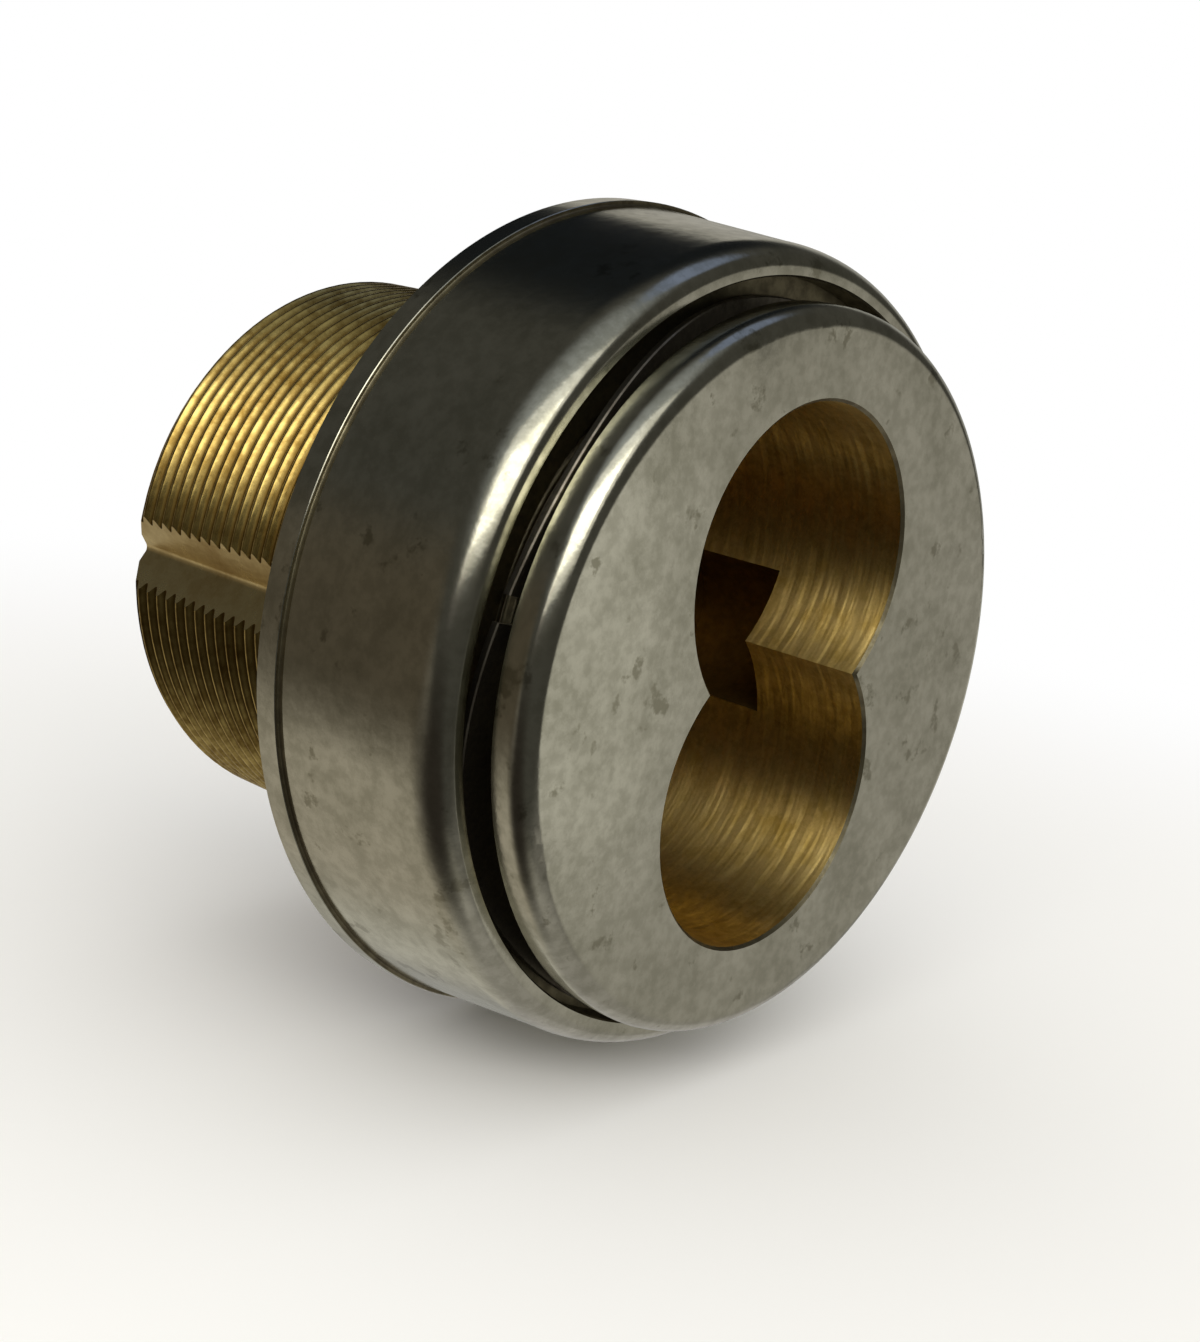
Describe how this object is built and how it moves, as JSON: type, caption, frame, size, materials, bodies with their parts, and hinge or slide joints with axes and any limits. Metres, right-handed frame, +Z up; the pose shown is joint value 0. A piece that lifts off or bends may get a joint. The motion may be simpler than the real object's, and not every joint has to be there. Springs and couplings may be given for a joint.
{
  "type": "mortise cylinder housing",
  "caption": "Threaded brass door cylinder housing with a figure-8 chamber for an interchangeable core, a sprung trim collar, and a drum and cam at its back.",
  "frame": {"origin": "on the thread's axis, in the plane of the collar's rear rim, where the thread enters the lock", "axes": "+Y along the thread, from the face to the cam; +Z up, through both lobes of the chamber; +X to the right as seen from the face"},
  "size_m": [0.041, 0.036, 0.041],
  "materials": {
    "turned_brass": "turned, with a satin plated head",
    "satin_plate": "satin chrome plate on brass",
    "spring_steel": "oiled spring strip",
    "drum_brass": "turned",
    "pin_steel": "ground",
    "ring_steel": "phosphated",
    "cam_steel": "bright zinc plate",
    "screw_steel": "zinc plate"
  },
  "bodies": {
    "housing": {"housing": "turned_brass", "wave_spring": "spring_steel"},
    "collar": {"trim_collar": "satin_plate"},
    "rotor": {"throw_member": "drum_brass", "driver_pin_left": "pin_steel", "driver_pin_right": "pin_steel", "retaining_ring": "ring_steel", "cam": "cam_steel", "cam_screw_upper": "screw_steel", "cam_screw_lower": "screw_steel"}
  },
  "joints": [
    {"name": "collar_slide", "type": "slide", "parent": "housing", "child": "collar", "axis": [0, -1, 0], "range_m": [0, 0.0016], "stiffness_N_per_m": 1500, "deforming": ["wave_spring"]},
    {"name": "cam_turn", "type": "hinge", "parent": "housing", "child": "rotor", "pos_m": [0, 0.0185, 0.0054], "axis": [0, 1, 0], "continuous": true}
  ]
}
